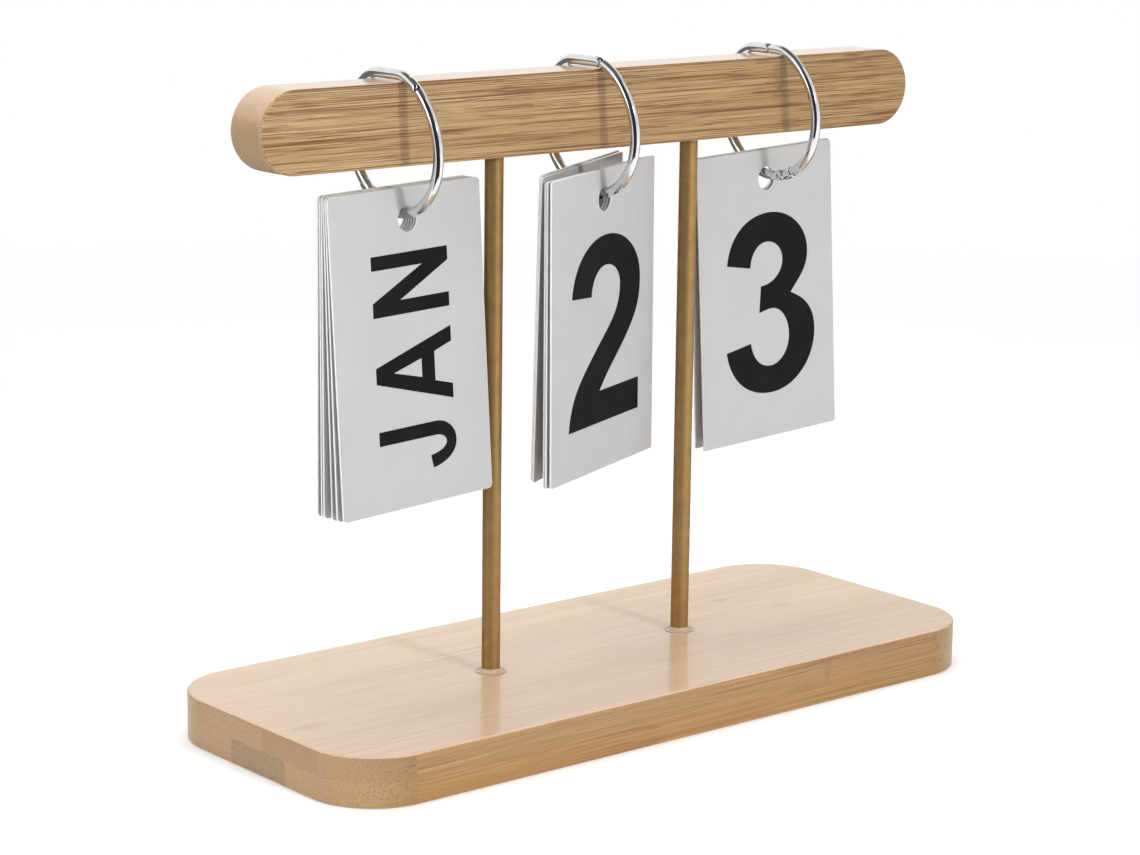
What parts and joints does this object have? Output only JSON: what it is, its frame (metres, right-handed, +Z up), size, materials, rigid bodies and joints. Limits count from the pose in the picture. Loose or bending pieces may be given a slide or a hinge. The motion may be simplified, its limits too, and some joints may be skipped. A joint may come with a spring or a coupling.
{
  "type": "perpetual desk calendar",
  "caption": "Perpetual desk calendar: a board base, rods and a round-ended crossbar, with hinged rings that slide along the bar and carry packs of lift-over month and day cards.",
  "frame": {"origin": "centre of the base board's underside", "axes": "+X along the base and the crossbar, +Y away from the cards' front faces, +Z up"},
  "size_m": [0.2018, 0.0812, 0.1607],
  "materials": {
    "bamboo_base": "satin lacquered bamboo",
    "bamboo_bar": "satin bamboo, straight grain along its length",
    "brass": "satin",
    "nickel": "bright nickel plating",
    "pin_steel": "plain",
    "card": "matt white card with black print",
    "glue": "clear set glue"
  },
  "bodies": {
    "stand": {"base_board": "bamboo_base", "crossbar": "bamboo_bar", "rod_left": "brass", "rod_right": "brass", "foot_glue_left": "glue", "foot_glue_right": "glue", "head_glue_left": "glue", "head_glue_right": "glue"},
    "ring_left": {"ring_left_fixed_half": "nickel", "ring_left_pin": "pin_steel"},
    "ring_left_gate": {"ring_left_opening_half": "nickel"},
    "month_card_3": {"month_card_3": "card"},
    "month_card_2": {"month_card_2": "card"},
    "month_card_1": {"month_card_1": "card"},
    "month_card_4": {"month_card_4": "card"},
    "month_card_5": {"month_card_5": "card"},
    "month_card_6": {"month_card_6": "card"},
    "ring_middle": {"ring_middle_fixed_half": "nickel", "ring_middle_pin": "pin_steel"},
    "ring_middle_gate": {"ring_middle_opening_half": "nickel"},
    "middle_card_3": {"middle_card_3": "card"},
    "middle_card_2": {"middle_card_2": "card"},
    "middle_card_1": {"middle_card_1": "card"},
    "middle_card_4": {"middle_card_4": "card"},
    "middle_card_5": {"middle_card_5": "card"},
    "ring_right": {"ring_right_fixed_half": "nickel", "ring_right_pin": "pin_steel"},
    "ring_right_gate": {"ring_right_opening_half": "nickel"},
    "right_card_1": {"right_card_1": "card"},
    "right_card_2": {"right_card_2": "card"}
  },
  "joints": [
    {"name": "ring_left_slide", "type": "slide", "parent": "stand", "child": "ring_left", "axis": [1, 0, 0], "range_m": [-0.027, 0.0005]},
    {"name": "ring_left_opening", "type": "hinge", "parent": "ring_left", "child": "ring_left_gate", "pos_m": [-0.0586, 0.00935, 0.12992], "axis": [0.9945, 0, 0.1045], "range_deg": [-80, 0]},
    {"name": "month_card_3_lift", "type": "hinge", "parent": "ring_left", "child": "month_card_3", "pos_m": [-0.06005, 0, 0.1437], "axis": [0.9945, 0, 0.1045], "range_deg": [-50, 0]},
    {"name": "month_card_2_lift", "type": "hinge", "parent": "month_card_3", "child": "month_card_2", "pos_m": [-0.06005, 0, 0.1437], "axis": [0.9945, 0, 0.1045], "range_deg": [-50, 0]},
    {"name": "month_card_1_lift", "type": "hinge", "parent": "month_card_2", "child": "month_card_1", "pos_m": [-0.06005, 0, 0.1437], "axis": [-0.9945, 0, -0.1045], "range_deg": [0, 105]},
    {"name": "month_card_4_lift", "type": "hinge", "parent": "ring_left", "child": "month_card_4", "pos_m": [-0.06005, 0, 0.1437], "axis": [0.9945, 0, 0.1045], "range_deg": [0, 60]},
    {"name": "month_card_5_lift", "type": "hinge", "parent": "month_card_4", "child": "month_card_5", "pos_m": [-0.06005, 0, 0.1437], "axis": [0.9945, 0, 0.1045], "range_deg": [0, 60]},
    {"name": "month_card_6_lift", "type": "hinge", "parent": "month_card_5", "child": "month_card_6", "pos_m": [-0.06005, 0, 0.1437], "axis": [-0.9945, 0, -0.1045], "range_deg": [-125, 0]},
    {"name": "ring_middle_slide", "type": "slide", "parent": "stand", "child": "ring_middle", "axis": [1, 0, 0], "range_m": [-0.005, 0.005]},
    {"name": "ring_middle_opening", "type": "hinge", "parent": "ring_middle", "child": "ring_middle_gate", "pos_m": [0.00017, 0.00733, 0.12876], "axis": [0.9945, 0, 0.1045], "range_deg": [-80, 0]},
    {"name": "middle_card_3_lift", "type": "hinge", "parent": "ring_middle", "child": "middle_card_3", "pos_m": [-0.0014, 0, 0.1437], "axis": [0.9945, 0, 0.1045], "range_deg": [-45, 0]},
    {"name": "middle_card_2_lift", "type": "hinge", "parent": "middle_card_3", "child": "middle_card_2", "pos_m": [-0.0014, 0, 0.1437], "axis": [0.9945, 0, 0.1045], "range_deg": [-45, 0]},
    {"name": "middle_card_1_lift", "type": "hinge", "parent": "middle_card_2", "child": "middle_card_1", "pos_m": [-0.0014, 0, 0.1437], "axis": [-0.9945, 0, -0.1045], "range_deg": [0, 95]},
    {"name": "middle_card_4_lift", "type": "hinge", "parent": "ring_middle", "child": "middle_card_4", "pos_m": [-0.0014, 0, 0.1437], "axis": [0.9945, 0, 0.1045], "range_deg": [0, 110]},
    {"name": "middle_card_5_lift", "type": "hinge", "parent": "middle_card_4", "child": "middle_card_5", "pos_m": [-0.0014, 0, 0.1437], "axis": [-0.9945, 0, -0.1045], "range_deg": [-110, 0]},
    {"name": "ring_right_slide", "type": "slide", "parent": "stand", "child": "ring_right", "axis": [1, 0, 0], "range_m": [-0.0016, 0.03]},
    {"name": "ring_right_opening", "type": "hinge", "parent": "ring_right", "child": "ring_right_gate", "pos_m": [0.05967, -0.00319, 0.12738], "axis": [0.9945, 0, 0.1045], "range_deg": [0, 80]},
    {"name": "right_card_1_lift", "type": "hinge", "parent": "ring_right", "child": "right_card_1", "pos_m": [0.05795, 0, 0.1437], "axis": [-0.9945, 0, -0.1045], "range_deg": [0, 145]},
    {"name": "right_card_2_lift", "type": "hinge", "parent": "ring_right", "child": "right_card_2", "pos_m": [0.05795, 0, 0.1437], "axis": [-0.9945, 0, -0.1045], "range_deg": [-110, 0]}
  ]
}
